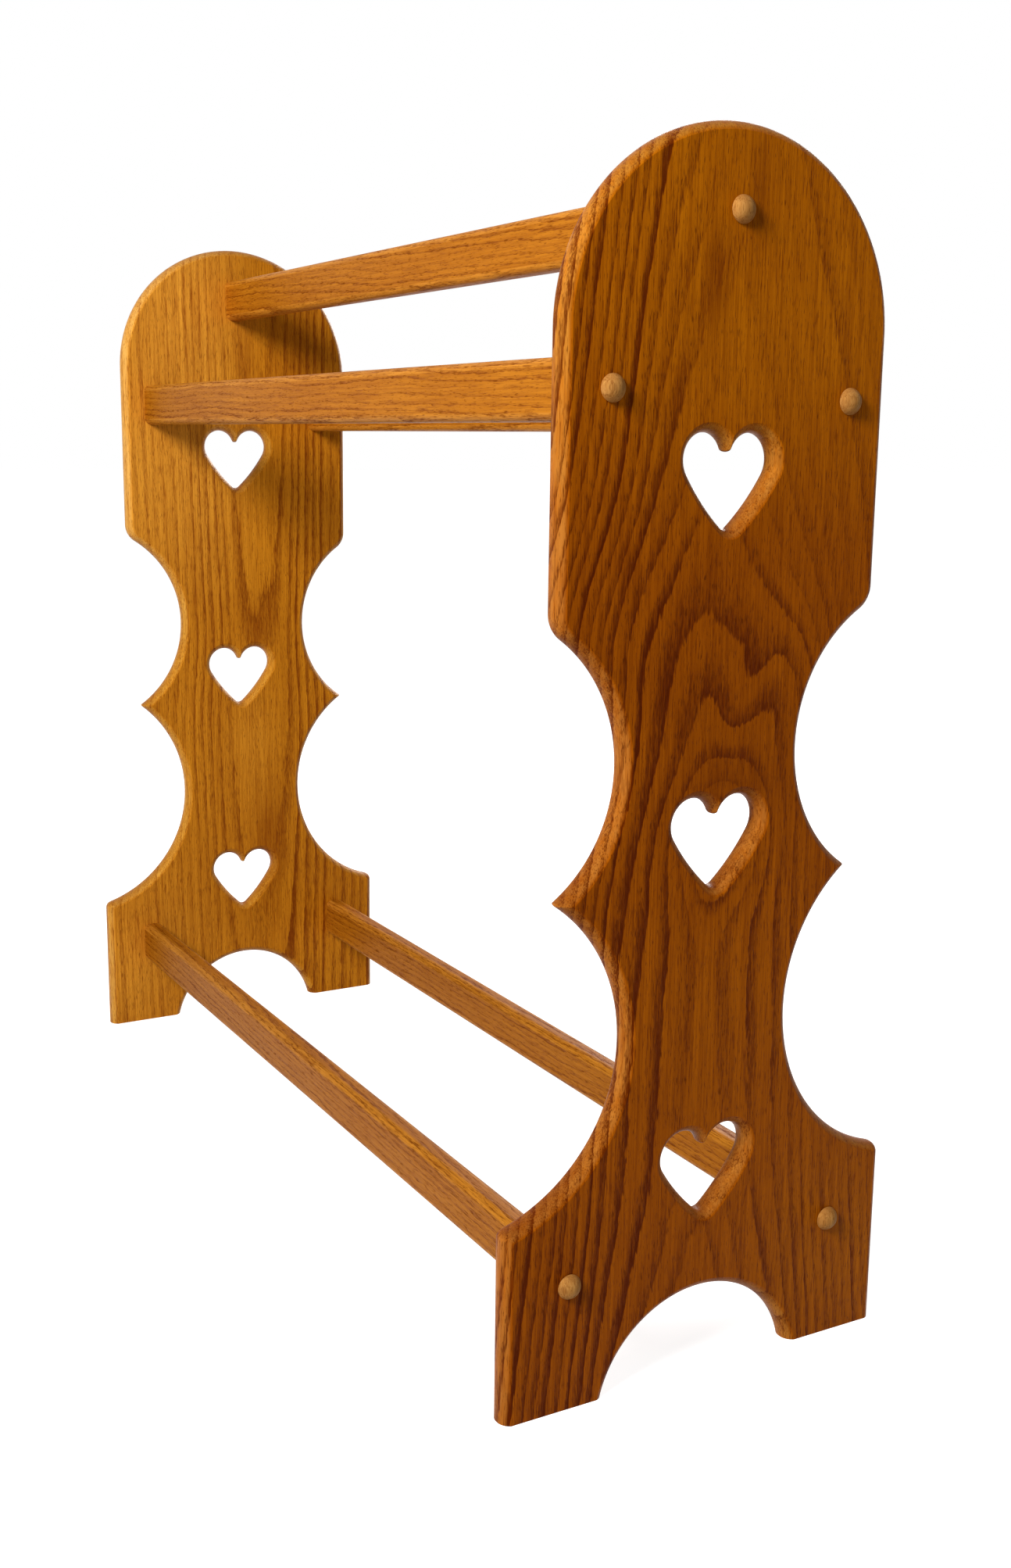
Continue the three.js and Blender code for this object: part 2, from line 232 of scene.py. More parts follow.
def scallop_arc(a, b, depth):
    """Arc of a given depth between two points, its centre to the right of the way from a to b."""
    chord = b - a
    half = chord.length / 2
    radius = (half * half + depth * depth) / (2 * depth)
    right = Vector((chord.y, -chord.x)).normalized()
    return (a + b) / 2 + right * (radius - depth), radius


def circle_crossing(a, radius_a, b, radius_b):
    """Where two circles cross, on the side of the smaller x."""
    way = b - a
    distance = way.length
    along = (distance * distance + radius_a * radius_a - radius_b * radius_b) / (2 * distance)
    across = math.sqrt(radius_a * radius_a - along * along)
    way.normalize()
    middle = a + way * along
    side = Vector((-way.y, way.x)) * across
    return min(middle + side, middle - side, key=lambda point: point.x)


def sawn_side(foot_top, cusp_half, cusp_top, body_half, shoulder_top, lower_depth, upper_depth):
    foot_corner = Vector((FOOT_HALF, foot_top))
    cusp = Vector((cusp_half, cusp_top))
    shoulder = Vector((body_half, shoulder_top))
    lower = scallop_arc(foot_corner, cusp, lower_depth)
    upper = scallop_arc(cusp, shoulder, upper_depth)
    return body_half, lower, upper


EVEN_SIDE = sawn_side(
    FOOT_HEIGHT,
    CUSP_WIDTH / 2,
    CUSP_HEIGHT,
    BODY_WIDTH / 2,
    SHOULDER_HEIGHT,
    LOWER_SCALLOP_DEPTH,
    UPPER_SCALLOP_DEPTH,
)
FULL_SIDE = sawn_side(
    FOOT_HEIGHT - FULL_FOOT_DROP,
    CUSP_WIDTH / 2 + FULL_CUSP_OUT,
    CUSP_HEIGHT - FULL_CUSP_DROP,
    BODY_WIDTH / 2 + FULL_BODY_OUT,
    SHOULDER_HEIGHT - FULL_SHOULDER_DROP,
    FULL_LOWER_SCALLOP_DEPTH,
    FULL_UPPER_SCALLOP_DEPTH,
)
ARCH_RADIUS = (ARCH_WIDTH * ARCH_WIDTH / 4 + ARCH_HEIGHT * ARCH_HEIGHT) / (2 * ARCH_HEIGHT)
ARCH_CENTRE = Vector((0, ARCH_HEIGHT - ARCH_RADIUS))


def corner_centre(line_x, corner_round, scallop_centre, scallop_radius, up_or_down):
    """Centre of a round that touches an upright line and a scallop above or below it."""
    x = line_x - corner_round
    reach = scallop_radius + corner_round
    away = scallop_centre.x - x
    return Vector((x, scallop_centre.y + up_or_down * math.sqrt(reach * reach - away * away)))


def half_outline(side, inset):
    """From the arch's crown out to one side and up to the top, drawn in by an inset."""
    body_half, (lower_centre, lower_radius), (upper_centre, upper_radius) = side
    arch_r = ARCH_RADIUS + inset
    arch_end = Vector((math.sqrt(arch_r * arch_r - ARCH_CENTRE.y * ARCH_CENTRE.y), 0))
    foot_side = FOOT_HALF - inset
    body_side = body_half - inset
    lower_r = lower_radius + inset
    upper_r = upper_radius + inset
    foot_round = max(FOOT_CORNER_ROUND - inset, LEAST_CORNER_ROUND)
    point_round = max(CUSP_ROUND - inset, LEAST_CORNER_ROUND)
    body_round = max(SHOULDER_ROUND - inset, LEAST_CORNER_ROUND)
    foot = corner_centre(foot_side, foot_round, lower_centre, lower_r, -1)
    cusp = circle_crossing(lower_centre, lower_r + point_round, upper_centre, upper_r + point_round)
    shoulder = corner_centre(body_side, body_round, upper_centre, upper_r, 1)
    top_centre = Vector((0, PANEL_HEIGHT - body_half))

    def along(centre, point):
        return angle_from(centre, point) % math.tau

    points = arc_points(
        ARCH_CENTRE, arch_r, math.pi / 2, angle_from(ARCH_CENTRE, arch_end), ARCH_STEPS
    )
    points.append(Vector((foot_side, 0)))
    points += arc_points(foot, foot_round, 0, angle_from(foot, lower_centre), FOOT_CORNER_STEPS)
    lower_arc = along(lower_centre, foot), along(lower_centre, cusp)
    points += arc_points(lower_centre, lower_r, *lower_arc, SCALLOP_STEPS)[1:]
    tip_arc = angle_from(cusp, lower_centre), angle_from(cusp, upper_centre)
    points += arc_points(cusp, point_round, *tip_arc, CUSP_STEPS)[1:]
    upper_arc = along(upper_centre, cusp), along(upper_centre, shoulder)
    points += arc_points(upper_centre, upper_r, *upper_arc, SCALLOP_STEPS)[1:]
    shoulder_arc = angle_from(shoulder, upper_centre), 0
    points += arc_points(shoulder, body_round, *shoulder_arc, SHOULDER_STEPS)[1:]
    points += arc_points(top_centre, body_side, 0, math.pi / 2, TOP_ARC_STEPS)
    return points


def mirrored_half(half):
    return [Vector((-point.x, point.y)) for point in reversed(half[1:-1])]


def panel_outline(inset):
    return half_outline(EVEN_SIDE, inset) + mirrored_half(half_outline(FULL_SIDE, inset))


def heart_outline(tip_height, inset):
    """A heart with its tip at the given height, let out by an inset, anticlockwise."""
    lobe = Vector((
        HEART_WIDTH / 2 - HEART_LOBE_RADIUS,
        tip_height + HEART_HEIGHT - HEART_LOBE_RADIUS,
    ))
    tip = Vector((0, tip_height + HEART_TIP_RADIUS))
    flank = circle_crossing(
        lobe, HEART_FLANK_RADIUS - HEART_LOBE_RADIUS, tip, HEART_FLANK_RADIUS - HEART_TIP_RADIUS
    )
    flank_arc = angle_from(flank, tip), angle_from(flank, lobe)
    lobe_r = HEART_LOBE_RADIUS + inset
    notch_r = max(HEART_NOTCH_ROUND - inset, LEAST_CORNER_ROUND)
    reach = lobe_r + notch_r
    notch = Vector((0, lobe.y + math.sqrt(reach * reach - lobe.x * lobe.x)))
    half = arc_points(tip, HEART_TIP_RADIUS + inset, -math.pi / 2, flank_arc[0], TIP_STEPS)
    half += arc_points(flank, HEART_FLANK_RADIUS + inset, *flank_arc, FLANK_STEPS)[1:]
    half += arc_points(lobe, lobe_r, flank_arc[1], angle_from(lobe, notch), LOBE_STEPS)[1:]
    notch_arc = angle_from(notch, lobe), -math.pi / 2
    half += arc_points(notch, notch_r, *notch_arc, NOTCH_STEPS)[1:]
    return half + mirrored_half(half)


def circle(centre, radius, sides):
    points = arc_points(Vector(centre), radius, 0, math.tau, sides)
    return points[:-1]


# Meshes


class Shell:
    """Points and faces of one closed piece, with how far each point lies on a rounded edge."""

    def __init__(self):
        self.points = []
        self.edge_amounts = []
        self.faces = []
        self.flat_faces = set()

    def loop(self, x, outline, edge_amounts=None):
        first = len(self.points)
        self.points += [(x, point.x, point.y) for point in outline]
        self.edge_amounts += edge_amounts or [0.0] * len(outline)
        return list(range(first, len(self.points)))

    def wall(self, low, high):
        """Faces between two loops, looking outwards where an anticlockwise loop goes towards plus x."""
        for i, corner in enumerate(low):
            j = (i + 1) % len(low)
            self.faces.append((corner, low[j], high[j], high[i]))

    def cap(self, loops, towards_plus_x):
        """A flat face inside the first loop and outside the rest."""
        flat = [index for loop in loops for index in loop]
        outlines = [[Vector(self.points[index]) for index in loop] for loop in loops]
        for triangle in tessellate_polygon(outlines):
            a, b, c = [Vector(self.points[flat[i]]) for i in triangle]
            corners = [flat[i] for i in triangle]
            if ((b - a).cross(c - a).x > 0) != towards_plus_x:
                corners.reverse()
            self.flat_faces.add(len(self.faces))
            self.faces.append(tuple(corners))

    def fan(self, loop, tip, towards_plus_x):
        first = len(self.points)
        self.points.append(tip)
        self.edge_amounts.append(0.0)
        for i, corner in enumerate(loop):
            j = (i + 1) % len(loop)
            face = (corner, loop[j], first)
            self.faces.append(face if towards_plus_x else face[::-1])

    def piece(self, name, turn=0.0, place=(0, 0, 0)):
        """The finished object, turned about z and then moved, in metres."""
        mesh = bpy.data.meshes.new(name)
        mesh.from_pydata([Vector(point) * MM for point in self.points], [], self.faces)
        mesh.transform(Matrix.Translation(Vector(place) * MM) @ Matrix.Rotation(turn, 4, "Z"))
        amounts = mesh.attributes.new("rounded_edge", "FLOAT", "POINT")
        amounts.data.foreach_set("value", self.edge_amounts)
        shade_by_area(mesh, self.flat_faces)
        obj = bpy.data.objects.new(name, mesh)
        bpy.context.scene.collection.objects.link(obj)
        return obj


def shade_by_area(mesh, flat_faces):
    """Smooth normals that lean to the larger faces. The flat faces meet the rest at a crisp line."""
    limit = math.cos(math.radians(CREASE_DEGREES))
    normals = [face.normal.copy() for face in mesh.polygons]
    weighted = [face.normal * face.area for face in mesh.polygons]
    around = [[] for _ in mesh.vertices]
    for face in mesh.polygons:
        for corner in face.vertices:
            around[corner].append(face.index)
    mesh.polygons.foreach_set("use_smooth", [True] * len(mesh.polygons))
    corner_normals = []
    for face in mesh.polygons:
        for corner in face.vertices:
            total = Vector((0, 0, 0))
            for other in around[corner]:
                same_kind = (other in flat_faces) == (face.index in flat_faces)
                if same_kind and normals[other].dot(normals[face.index]) > limit:
                    total += weighted[other]
            corner_normals.append(total.normalized())
    mesh.normals_split_custom_set(corner_normals)


def rounded_stations():
    """Place, inset and edge amount of each station through a panel.

    The cutter's arc meets the flat face at a slight angle, which leaves a crisp line round it.
    """
    sweep = math.acos(1 - PANEL_EDGE_INSET / EDGE_CUTTER_RADIUS)
    depth = EDGE_CUTTER_RADIUS * math.sin(sweep)
    near = []
    for i in range(ROUND_OVER_STEPS + 1):
        angle = sweep * (1 - i / ROUND_OVER_STEPS)
        place = depth - EDGE_CUTTER_RADIUS * math.sin(angle)
        inset = EDGE_CUTTER_RADIUS * (1 - math.cos(angle))
        near.append((place, inset, i / ROUND_OVER_STEPS))
    far = [(PANEL_THICKNESS - place, inset, edge) for place, inset, edge in reversed(near)]
    return near + far


def end_panel(name, turn):
    """An end panel with its hearts and screw holes. It is built with its outer face along plus x."""
    shell = Shell()
    stations = rounded_stations()
    outlines = [panel_outline]
    for tip_height in HEART_TIPS:
        outlines.append(lambda inset, tip_height=tip_height: heart_outline(tip_height, inset)[::-1])
    rows = []
    for outline in outlines:
        loops = []
        for x, inset, edge in stations:
            points = outline(inset)
            loops.append(shell.loop(INNER_FACE_X + x, points, [edge] * len(points)))
        for low, high in zip(loops, loops[1:]):
            shell.wall(low, high)
        rows.append(loops)
    inner_loops = [loops[0] for loops in rows]
    outer_loops = [loops[-1] for loops in rows]

    floor_x = OUTER_FACE_X - COUNTERBORE_DEPTH
    hole_profile = (
        (OUTER_FACE_X, COUNTERBORE_DIAMETER),
        (floor_x, COUNTERBORE_DIAMETER),
        (floor_x, HEAD_HOLE_DIAMETER),
        (floor_x - HEAD_HOLE_DEPTH, SHANK_HOLE_DIAMETER),
        (INNER_FACE_X, SHANK_HOLE_DIAMETER),
    )
    for y, z in RAIL_PLACES.values():
        centre = (y if turn == 0 else -y, z)
        loops = [shell.loop(x, circle(centre, width / 2, BORE_SIDES)) for x, width in hole_profile]
        for high, low in zip(loops, loops[1:]):
            shell.wall(high, low)
        outer_loops.append(loops[0])
        inner_loops.append(loops[-1])
    shell.cap(outer_loops, towards_plus_x=True)
    shell.cap(inner_loops, towards_plus_x=False)
    return shell.piece(name, turn)


def rail(name, place):
    """A rail with rounded edges and a pilot hole in each end, built about its own middle."""
    shell = Shell()
    section = []
    amounts = []
    flat_y = RAIL_DEPTH / 2 - RAIL_EDGE_ROUND
    flat_z = RAIL_HEIGHT / 2 - RAIL_EDGE_ROUND
    corners = ((flat_y, flat_z), (-flat_y, flat_z), (-flat_y, -flat_z), (flat_y, -flat_z))
    for quarter, corner in enumerate(corners):
        start = quarter * math.pi / 2
        end = start + math.pi / 2
        section += arc_points(Vector(corner), RAIL_EDGE_ROUND, start, end, ROUND_OVER_STEPS)
        amounts += [math.sin(math.pi * i / ROUND_OVER_STEPS) for i in range(ROUND_OVER_STEPS + 1)]
    half = RAIL_LENGTH / 2
    ends = [shell.loop(-half, section, amounts), shell.loop(half, section, amounts)]
    shell.wall(*ends)
    pilot = circle((0, 0), PILOT_DIAMETER / 2, BORE_SIDES)
    for end, side in zip(ends, (-1, 1)):
        mouth = shell.loop(side * half, pilot)
        deep = shell.loop(side * (half - PILOT_DEPTH), pilot)
        shell.cap([end, mouth], towards_plus_x=side > 0)
        if side > 0:
            shell.wall(mouth, deep)
        else:
            shell.wall(mouth[::-1], deep[::-1])
        tip = (side * (half - PILOT_DEPTH - PILOT_TIP), 0, 0)
        shell.fan(deep, tip, towards_plus_x=side > 0)
    piece = shell.piece(name)
    piece.location = Vector((0, *place)) * MM
    return piece


def button(name, turn, place):
    """A turned plug with a domed head, a fine rim and a tenon that sits in the counterbore."""
    head_r = BUTTON_DIAMETER / 2
    tenon_r = COUNTERBORE_DIAMETER / 2 - BUTTON_GAP
    dome_r = (head_r * head_r + BUTTON_DOME_HEIGHT * BUTTON_DOME_HEIGHT) / (2 * BUTTON_DOME_HEIGHT)
    rim_top = BUTTON_GAP + BUTTON_RIM
    centre_x = rim_top + BUTTON_DOME_HEIGHT - dome_r
    half_angle = math.asin(head_r / dome_r)
    profile = [
        (-TENON_LENGTH, tenon_r - TENON_CHAMFER),
        (-TENON_LENGTH + TENON_CHAMFER, tenon_r),
        (BUTTON_GAP, tenon_r),
        (BUTTON_GAP, head_r - BUTTON_BEVEL),
        (BUTTON_GAP + BUTTON_BEVEL, head_r),
    ]
    for i in range(DOME_STEPS):
        angle = half_angle * (1 - i / DOME_STEPS)
        profile.append((centre_x + dome_r * math.cos(angle), dome_r * math.sin(angle)))
    shell = Shell()
    loops = [shell.loop(x, circle((0, 0), radius, BUTTON_SIDES)) for x, radius in profile]
    for low, high in zip(loops, loops[1:]):
        shell.wall(low, high)
    shell.fan(loops[0], (-TENON_LENGTH, 0, 0), towards_plus_x=False)
    shell.fan(loops[-1], (rim_top + BUTTON_DOME_HEIGHT, 0, 0), towards_plus_x=True)
    return shell.piece(name, turn, place)


# Materials


class Nodes:
    """Short ways to add nodes to the tree of a material or a world."""

    def __init__(self, owner):
        owner.use_nodes = True
        self.tree = owner.node_tree
        self.tree.nodes.clear()

    def add(self, kind, inputs=None, **settings):
        node = self.tree.nodes.new(kind)
        for key, value in settings.items():
            setattr(node, key, value)
        for key, value in (inputs or {}).items():
            self.join(node.inputs[key], value)
        return node

    def join(self, socket, value):
        if isinstance(value, bpy.types.NodeSocket):
            self.tree.links.new(value, socket)
        else:
            socket.default_value = value

    def math(self, operation, *values):
        node = self.add("ShaderNodeMath", operation=operation)
        for socket, value in zip(node.inputs, values):
            self.join(socket, value)
        return node.outputs[0]

    def ramp(self, value, low, high, start=0.0, end=1.0):
        """A soft step from start to end as value goes from low to high."""
        inputs = {"Value": value, "From Min": low, "From Max": high, "To Min": start, "To Max": end}
        return self.add("ShaderNodeMapRange", inputs, interpolation_type="SMOOTHSTEP").outputs[0]

    def mix(self, amount, a, b, blend="MIX"):
        node = self.add("ShaderNodeMix", data_type="RGBA", blend_type=blend)
        self.join(node.inputs["Factor"], amount)
        self.join(node.inputs["A"], a)
        self.join(node.inputs["B"], b)
        return node.outputs["Result"]

    def blend(self, amount, a, b):
        """A shader that goes from a to b."""
        node = self.add("ShaderNodeMixShader", {"Fac": amount})
        self.join(node.inputs[1], a)
        self.join(node.inputs[2], b)
        return node.outputs[0]

    def times(self, *values):
        result = values[0]
        for value in values[1:]:
            result = self.math("MULTIPLY", result, value)
        return result

    def total(self, *values):
        result = values[0]
        for value in values[1:]:
            result = self.math("ADD", result, value)
        return result

    def noise(self, position, size, detail=2.0, roughness=0.5, seed=0.0):
        """Noise with features of the given size in mm across, through and along a board."""
        scaled = self.add("ShaderNodeVectorMath", operation="MULTIPLY_ADD")
        self.join(scaled.inputs[0], position)
        scaled.inputs[1].default_value = [1 / length for length in size]
        scaled.inputs[2].default_value = (seed, seed * 1.7, seed * 2.3)
        inputs = {"Vector": scaled.outputs[0], "Scale": 1.0, "Detail": detail, "Roughness": roughness}
        return self.add("ShaderNodeTexNoise", inputs).outputs["Fac"]

    def swing(self, position, size, amount, detail=2.0, seed=0.0):
        """Noise that swings both ways about nought."""
        centred = self.math("SUBTRACT", self.noise(position, size, detail, 0.5, seed), 0.5)
        return self.times(centred, amount)

    def hill(self, places, centre, spread, height):
        """A smooth rise of the given height, with its spread about a centre."""
        squares = []
        for value, middle, width in zip(places, centre, spread):
            away = self.math("DIVIDE", self.math("SUBTRACT", value, middle), width)
            squares.append(self.times(away, away))
        return self.times(self.math("EXPONENT", self.times(self.total(*squares), -0.5)), height)

    def bowed(self, value, width):
        """The size of a value, levelled off within a width of nought."""
        root = self.math("SQRT", self.total(self.times(value, value), width * width))
        return self.math("SUBTRACT", root, width)

    def eased(self, value, width):
        """The value where it is above nought, and nought below, with a soft bend between."""
        root = self.math("SQRT", self.total(self.times(value, value), width * width))
        return self.times(self.total(value, root), 0.5)

    def place_in_mm(self):
        """Places in mm, from the piece's own coordinates."""
        coordinates = self.add("ShaderNodeTexCoord").outputs["Object"]
        scaled = self.add("ShaderNodeVectorMath", {"Scale": 1 / MM}, operation="SCALE")
        self.join(scaled.inputs[0], coordinates)
        return scaled.outputs[0]

    def looked_at(self):
        """One for what the camera sees, also in a gloss or through glass, and nought for light."""
        path = self.add("ShaderNodeLightPath")
        seen = self.math("MAXIMUM", path.outputs["Is Camera Ray"], path.outputs["Is Transmission Ray"])
        return self.math("MAXIMUM", seen, path.outputs["Is Glossy Ray"])


def board_axes(n, kind):
    """Places across, through and along a board in mm."""
    x, y, z = n.add("ShaderNodeSeparateXYZ", {"Vector": n.place_in_mm()}).outputs
    if kind == "panel_right":
        return y, n.math("SUBTRACT", OUTER_FACE_X, x), z
    if kind == "panel_left":
        return y, n.math("SUBTRACT", -INNER_FACE_X, x), z
    return z, y, x


# Figure of the grain. Each figure gives a field in mm whose level lines are the growth rings, and
# how strong the dark bands, the smudges and the painted shadows are at each place, and how much
# of the tint goes on, which is painted light. Hills are written as their centre and their spread
# in mm, across and along the board, and then their height.


def right_panel_figure(n, across, depth, along, place):
    """Cathedrals that point up, a double peak above the middle heart and rings around it."""
    spot = (across, along)
    shift = n.hill((along,), (508,), (45,), 16)
    centred = n.total(across, 6.0, shift, n.swing(place, (60, 60, 260), 5, seed=3.1))
    upper = n.ramp(along, 330, 470)
    on_left = n.ramp(centred, -6, 6, 1.0, 0.0)
    away = n.bowed(centred, 14)
    knee = n.math("SUBTRACT", 60.0, n.times(upper, on_left, 22.0))
    steeper = n.math("SUBTRACT", 1.0, n.times(upper, n.math("SUBTRACT", 1.0, on_left)))
    leaning = n.math("SUBTRACT", across, n.times(n.total(along, -440.0), 0.4))
    field = n.total(
        n.times(away, 0.55),
        n.times(n.eased(n.math("SUBTRACT", away, knee), 9), 0.75, steeper),
        n.times(n.eased(n.total(along, -300.0), 50), 0.165),
        n.times(n.eased(n.math("SUBTRACT", 140.0, along), 40), -0.14),
        n.hill(spot, (52, 480), (30, 50), -27),
        n.hill((leaning, along), (5, 473), (11, 28), 7.5),
        n.hill(spot, (-24, 522), (14, 20), 1.6),
        n.hill(spot, (6, 374), (30, 32), -32),
        n.times(depth, 0.8),
    )
    strength = n.total(
        0.3,
        n.ramp(across, -60, -15, 0.7, 0.0),
        n.hill(spot, (5, 475), (45, 42), 0.6),
        n.hill(spot, (0, 345), (45, 45), 0.25),
        n.hill(spot, (15, 255), (50, 60), 0.55),
        n.ramp(along, 90, 160, 0.36, 0.0),
        n.hill(spot, (10, 690), (32, 120), -0.14),
    )
    smudge_and_shadow = n.total(
        n.hill(spot, (-18, 722), (6, 22), 0.6),
        n.hill(spot, (12, 772), (5, 26), 0.45),
        n.hill(spot, (10, 415), (26, 15), 0.35),
    )
    # Painted light: the face is painted lighter and yellower towards the top, less so by the front
    # edge, and at the rear foot and above the lowest heart.
    painted_light_amount = n.total(
        n.times(n.ramp(along, 540, 700), n.ramp(across, -115, -40, 0.55, 1.0)),
        n.hill(spot, (115, 60), (45, 60), 0.7),
        n.hill(spot, (0, 250), (60, 60), 0.25),
    )
    return field, strength, smudge_and_shadow, painted_light_amount


def left_panel_figure(n, across, depth, along, place):
    """Flames that point down on the right of the middle, close straight lines on the left."""
    spot = (across, along)
    centred = n.total(across, -20.0, n.swing(place, (60, 60, 240), 4, seed=7.7))
    on_left = n.ramp(centred, -6, 6, 1.0, 0.0)
    away = n.bowed(centred, 14)
    knee = n.ramp(along, 300, 430, 29.0, 16.0)
    outer = n.eased(n.math("SUBTRACT", away, knee), 9)
    fall = n.times(along, -0.045, n.ramp(away, 10, 70, 1.0, 0.5))
    field = n.total(
        n.times(away, 0.27),
        n.times(outer, n.total(0.78, n.times(on_left, 0.12))),
        fall,
        n.hill(spot, (2, 180), (12, 60), -1.35),
        n.times(depth, 0.8),
    )
    strength = n.total(
        0.42,
        n.hill(spot, (-22, 470), (26, 130), 0.4),
        n.hill(spot, (22, 520), (26, 80), 0.5),
        n.hill(spot, (12, 215), (24, 60), 0.75),
        n.ramp(across, 30, 50, 0.0, 0.45),
        n.hill((across,), (57,), (5,), 0.4),
    )
    smudge_and_shadow = n.total(
        n.hill(spot, (28, 190), (13, 38), 0.75),
        n.hill(spot, (22, 425), (9, 15), 0.5),
        n.hill(spot, (12, 690), (6, 40), 0.4),
        # Painted shadow of the top rail, below its end and towards the rear.
        n.hill(spot, (85, 705), (28, 45), 0.3),
    )
    # Painted light: the face is painted lighter and yellower towards the front, most in its upper part,
    # and at the front foot.
    painted_light_amount = n.total(
        n.times(n.ramp(across, -55, 40, 1.0, 0.0), n.ramp(along, 400, 620, 0.15, 1.0)),
        n.hill(spot, (12, 300), (20, 55), 0.25),
        n.hill(spot, (-125, 60), (45, 60), 0.5),
    )
    return field, strength, smudge_and_shadow, painted_light_amount


def straight_figure(slope, bend, seed):
    """Nearly straight lines, evenly strong, with no dark smudges, no painted shadow and the full tint.
    """

    def figure(n, across, depth, along, place):
        sway = n.swing(place, (50, 50, 260), bend, seed=seed)
        field = n.total(n.times(across, 0.75), n.times(depth, 0.65), n.times(along, slope), sway)
        return field, 0.8, 0.0, 1.0

    return figure


def growth_rings(n, place, field, ring, start, seed):
    """One dark band a ring, with a sharp start and a long fade, and blotches that break it up."""
    scaled = n.math("DIVIDE", field, ring * UNEVEN_OVER_RINGS)
    uneven = n.add("ShaderNodeTexNoise", {"W": scaled, "Scale": 1.0}, noise_dimensions="1D")
    shift = n.times(uneven.outputs["Fac"], RING_UNEVENNESS)
    rings = n.total(n.math("DIVIDE", field, ring), shift, start - RING_UNEVENNESS / 2)
    phase = n.math("FRACT", rings)
    chances = n.add("ShaderNodeTexWhiteNoise", {"W": n.math("FLOOR", rings)}, noise_dimensions="1D")
    width = n.ramp(chances.outputs["Value"], 0.0, 1.0, 0.5, 0.85)
    parts = n.add("ShaderNodeSeparateColor", {"Color": chances.outputs["Color"]})
    ring_strength = n.ramp(parts.outputs["Green"], 0.0, 1.0, 0.4, 1.1)
    line = n.ramp(phase, 0.06, 0.24, 0.4, 0.0)
    fading = n.ramp(phase, 0.15, width, 0.85, 0.0)
    mottle = n.ramp(n.noise(place, MOTTLE_SIZE, 2.0, 0.5, seed + 7), 0.3, 0.65, 0.55, 1.0)
    band = n.times(n.ramp(phase, 0.0, 0.07), n.total(line, fading), mottle, ring_strength)
    return band, mottle


